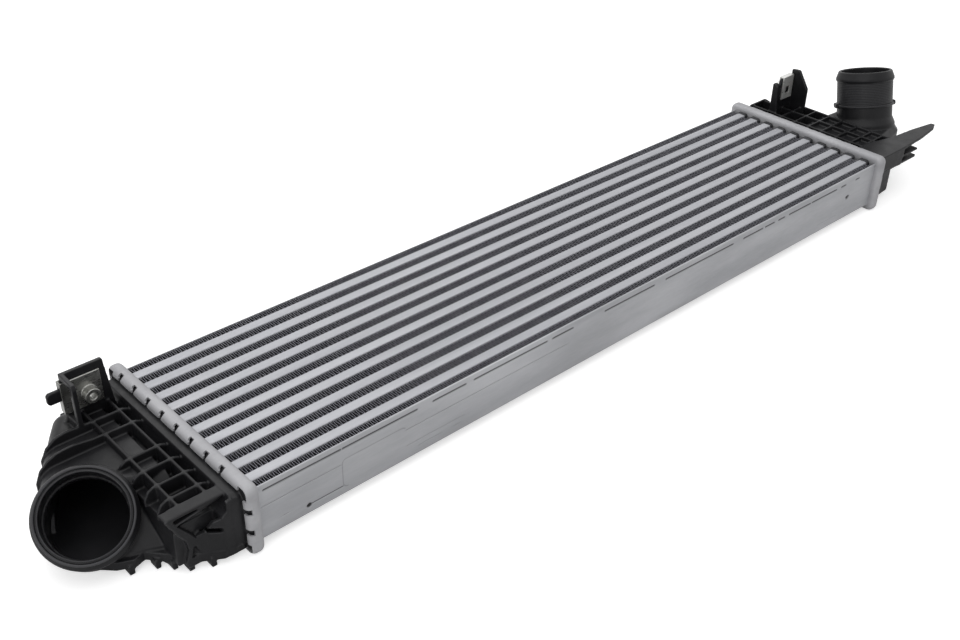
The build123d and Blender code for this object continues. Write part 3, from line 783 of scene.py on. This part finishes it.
def pressedPlate(name, side, holes):
    # A grid of the relief over the outside, closed by walls round its border and a flat back
    shape = plateShape
    length, half = coreHalf / mm, coreHalfDepth / mm
    fine = [np.arange(px - 4, px + 4, 0.4) for px, *rest in shape["holes"]]
    fine += [np.arange(end - 2, end + 2, 0.4) for end in (-265, -215)]
    ends = [np.arange(end - 1.6, end + 1.6, 0.4) for dash in shape["dashes"] for end in dash]
    x = np.unique(np.round(np.concatenate([np.linspace(-length, length, 110), *fine, *ends]), 3))
    x = x[(x >= -length - 0.01) & (x <= length + 0.01)]
    edge = shape["edgeRound"]
    lines = [*plateLines, (half - edge, half, 0.2), (-half, edge - half, 0.2)]
    z = [np.linspace(-half, half, 28)] + [np.arange(*line) for line in lines]
    z = np.unique(np.round(np.concatenate(z), 3))
    gridX, gridZ = np.meshgrid(x, z, indexing="ij")
    depth, paintedShade = plateRelief(gridX, gridZ, holes)
    outside = np.stack([gridX, -depth, gridZ], -1).reshape(-1, 3)
    count = len(outside)
    border = np.concatenate([np.arange(len(z)), np.arange(1, len(x)) * len(z) + len(z) - 1,
                             (len(x) - 1) * len(z) + np.arange(len(z) - 2, -1, -1),
                             np.arange(len(x) - 2, 0, -1) * len(z)])
    step = np.arange(len(border))
    after = np.roll(step, -1)
    walls = np.stack([border, border[after], after + count, step + count], -1)
    back = np.stack([step + count, after + count, np.full(len(step), count + len(step))], -1)
    inside = np.concatenate([outside[border], [[0, 0, 0]]]) * [1, 0, 1] - [0, shape["thickness"], 0]
    points = np.concatenate([outside, inside]) * [1, side, 1]
    face = plateFace[name]
    points = points * mm + [coreCentre[0], face, coreCentre[2]]
    faces = np.concatenate([halved(gridQuads(len(x), len(z))), halved(walls), back])
    piece = newPiece(f"{name}_pressing", points, faces, plateMetal, [name])
    # Painted shade in the dashes, creases, holes and slit, and along the panel's left end and top edge
    attribute(piece.data, "paintedShade", np.concatenate([paintedShade.ravel(), np.zeros(len(inside))]))
    outwardFaces(piece)
    return smoothed(piece, 45)


plateFace = {"side_plate_front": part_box("side_plate_front")[0][1],
             "side_plate_back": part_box("side_plate_back")[1][1]}
pressedPlate("side_plate_front", -1, True)
pressedPlate("side_plate_back", 1, False)
print("side plates made")


# Clip nuts: the solid's form with its edges rounded, as bent sheet has

clipShape = {"edge": 0.45 * mm, "segments": 3, "bevelFrom": 50, "mergeWithin": 0.001 * mm}


def bentClip(name, metal):
    piece = nodes[name].copy()
    piece.data = nodes[name].data.copy()
    piece.name = f"{name}_bent"
    piece.parent = None
    bpy.context.collection.objects.link(piece)
    merged(piece.data, clipShape["mergeWithin"], math.radians(1))
    dressed(piece, metal, [name])
    edges = piece.modifiers.new("edges", "BEVEL")
    edges.width = clipShape["edge"]
    edges.segments = clipShape["segments"]
    edges.limit_method = "ANGLE"
    edges.angle_limit = math.radians(clipShape["bevelFrom"])
    edges.use_clamp_overlap = True
    return smoothed(piece, 40)


bentClip("inlet_clip_nut", dullZinc)
bentClip("outlet_clip_nut", litZinc)
print("clip nuts made")


# Pieces that keep their solid's form and get their finish

for name, piece in nodes.items():
    finish = None
    if name.startswith("turbulator"):
        finish = tubeMetal
    elif name.endswith("gasket"):
        finish = gasketRubber
    if finish:
        for place in piece.material_slots:
            place.material = finish


# Floor, light and camera

roomLook = {"floorSize": 12.0, "floorColour": 0.82, "floorLift": 0.56, "worldLight": 0.55}
lamps = {"overhead": {"place": (-0.2, 0.1, 1.7), "size": 2.4, "watts": 14.0},
         "left": {"place": (-1.6, -0.9, 0.9), "size": 1.0, "watts": 5.0},
         "back": {"place": (0.05, 1.1, 0.95), "size": 0.7, "watts": 1.8}}


def whiteRoom():
    # The camera and mirror rays see plain white, and everything else the room's even light
    world = bpy.data.worlds.new("room")
    bpy.context.scene.world = world
    world.use_nodes = True
    tree = world.node_tree
    background = tree.nodes["Background"]
    background.inputs["Color"].default_value = (1, 1, 1, 1)
    path = tree.nodes.new("ShaderNodeLightPath")
    seen = tree.nodes.new("ShaderNodeMath")
    seen.operation = "MAXIMUM"
    seenToo = tree.nodes.new("ShaderNodeMath")
    seenToo.operation = "MAXIMUM"
    level = tree.nodes.new("ShaderNodeMapRange")
    level.inputs["To Min"].default_value = roomLook["worldLight"]
    level.inputs["To Max"].default_value = 1.0
    tree.links.new(path.outputs["Is Camera Ray"], seen.inputs[0])
    tree.links.new(path.outputs["Is Glossy Ray"], seen.inputs[1])
    tree.links.new(seen.outputs[0], seenToo.inputs[0])
    tree.links.new(path.outputs["Is Transmission Ray"], seenToo.inputs[1])
    tree.links.new(seenToo.outputs[0], level.inputs["Value"])
    tree.links.new(level.outputs["Result"], background.inputs["Strength"])


def paleFloor():
    size = roomLook["floorSize"] / 2
    points = np.array([[-size, -size, 0], [size, -size, 0], [size, size, 0], [-size, size, 0]], dtype=float)
    mesh = bpy.data.meshes.new("floor")
    mesh.from_pydata(points.tolist(), [], [(0, 1, 2, 3)])
    floor = bpy.data.objects.new("floor", mesh)
    bpy.context.collection.objects.link(floor)
    material = newMaterial("floorPaint", (roomLook["floorColour"],) * 3, 0.9, specular=0.1)
    tree = material.node_tree
    shader = tree.nodes["Principled BSDF"]
    shader.inputs["Emission Color"].default_value = (1, 1, 1, 1)
    path = tree.nodes.new("ShaderNodeLightPath")
    lift = tree.nodes.new("ShaderNodeMath")
    lift.operation = "MULTIPLY"
    lift.inputs[1].default_value = roomLook["floorLift"]
    tree.links.new(path.outputs["Is Camera Ray"], lift.inputs[0])
    tree.links.new(lift.outputs[0], shader.inputs["Emission Strength"])
    mesh.materials.append(material)


def softLamp(name, place, size, watts):
    lamp = bpy.data.lights.new(name, "AREA")
    lamp.shape = "DISK"
    lamp.size = size
    lamp.energy = watts
    holder = bpy.data.objects.new(name, lamp)
    holder.location = place
    holder.rotation_euler = (-Vector(place)).to_track_quat("-Z", "Y").to_euler()
    bpy.context.collection.objects.link(holder)


cameraLook = {"place": (-585.4, -549.6, 486.0), "sight": (0.5650, 0.6130, -0.5524), "roll": 0.867,
              "lens": 44.52, "sensor": 36}


def photoCamera():
    camera = bpy.data.objects.new("camera", bpy.data.cameras.new("camera"))
    bpy.context.collection.objects.link(camera)
    camera.location = Vector(cameraLook["place"]) * mm + Vector(coreCentre)
    turn = Vector(cameraLook["sight"]).to_track_quat("-Z", "Y")
    roll = Quaternion((0, 0, 1), math.radians(cameraLook["roll"]))
    camera.rotation_euler = (turn @ roll).to_euler()
    camera.data.sensor_width = cameraLook["sensor"]
    camera.data.lens = cameraLook["lens"]
    bpy.context.scene.camera = camera


whiteRoom()
paleFloor()
for name, lamp in lamps.items():
    softLamp(name, **lamp)
photoCamera()
bpy.context.scene.view_settings.view_transform = "Standard"
print("room made")
